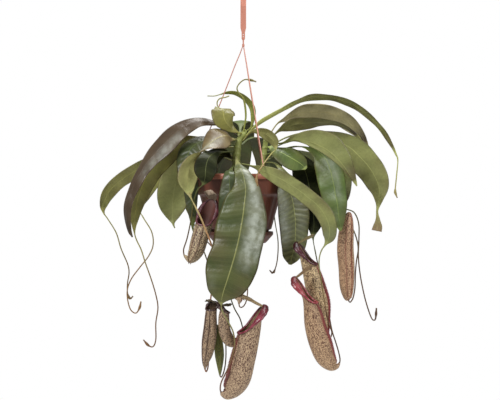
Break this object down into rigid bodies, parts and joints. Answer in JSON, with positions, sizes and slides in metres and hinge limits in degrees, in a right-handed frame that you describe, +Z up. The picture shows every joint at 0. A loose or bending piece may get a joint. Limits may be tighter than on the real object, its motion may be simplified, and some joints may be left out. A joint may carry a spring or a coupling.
{
  "type": "hanging pitcher plant",
  "caption": "Hanging pitcher plant with arching leaves and tendrils that end in speckled pitchers, in a fluted plastic pot with a saucer, three strands and a hook",
  "frame": {"origin": "bearing point inside the top of the hook, on the hook's middle plane", "axes": "+Z up, -Y towards the front of the plant, +X to its right as seen from the front"},
  "size_m": [0.5842, 0.3448, 0.789],
  "materials": {
    "leaf": "living leaf with a soft silvery sheen, paler below",
    "stem": "smooth living stem",
    "pitcher_wall": "waxy, sand coloured with dense dark flecks",
    "pitcher_rim": "glossy ribbed collar, crimson to burgundy, tan lid",
    "pot_plastic": "moulded terracotta coloured plastic, satin",
    "hanger": "moulded coral coloured plastic, satin",
    "soil": "loose dark potting mix"
  },
  "bodies": {
    "root": {"hook": "hanger", "strand_left": "hanger", "strand_right_front": "hanger", "strand_right_back": "hanger", "pot": "pot_plastic", "saucer": "pot_plastic", "soil": "soil", "stem_main": "stem", "stem_right": "stem", "stem_back": "stem", "leaf_front": "leaf", "leaf_glossy_left": "leaf", "leaf_upright": "leaf", "leaf_dark_arch": "leaf", "leaf_pale_folded": "leaf", "leaf_back_left": "leaf", "leaf_far_left": "leaf", "leaf_deep_green": "leaf", "leaf_broad_olive": "leaf", "leaf_shaded": "leaf", "leaf_low_front": "leaf", "leaf_long_arch": "leaf", "leaf_olive_brown": "leaf", "leaf_brown_inner": "leaf", "leaf_right_twisted": "leaf", "leaf_light_arch": "leaf", "leaf_green_hanging": "leaf", "leaf_front_right": "leaf", "leaf_quilted": "leaf", "leaf_shadow_right": "leaf", "leaf_short_olive": "leaf", "leaf_bright_rib": "leaf", "leaf_inner_dark": "leaf", "leaf_behind_right": "leaf", "leaf_far_right": "leaf", "shoot_spear": "leaf", "shoot_tendril": "leaf", "leaf_back_middle": "leaf", "leaf_back_right": "leaf", "leaf_back_low": "leaf", "leaf_back_outer": "leaf", "pitcher_front_cup": "pitcher_wall", "pitcher_front_collar": "pitcher_rim", "pitcher_right_front_cup": "pitcher_wall", "pitcher_right_front_collar": "pitcher_rim", "pitcher_right_back_cup": "pitcher_wall", "pitcher_right_back_collar": "pitcher_rim", "pitcher_left_cup": "pitcher_wall", "pitcher_left_collar": "pitcher_rim", "pitcher_low_left_cup": "pitcher_wall", "pitcher_low_left_collar": "pitcher_rim", "pitcher_low_curved_cup": "pitcher_wall", "pitcher_low_curved_collar": "pitcher_rim", "pitcher_back_cup": "pitcher_wall", "pitcher_back_collar": "pitcher_rim", "pitcher_slim": "pitcher_wall", "pitcher_closed_right": "pitcher_wall", "pitcher_closed_back": "pitcher_wall"}
  },
  "joints": []
}
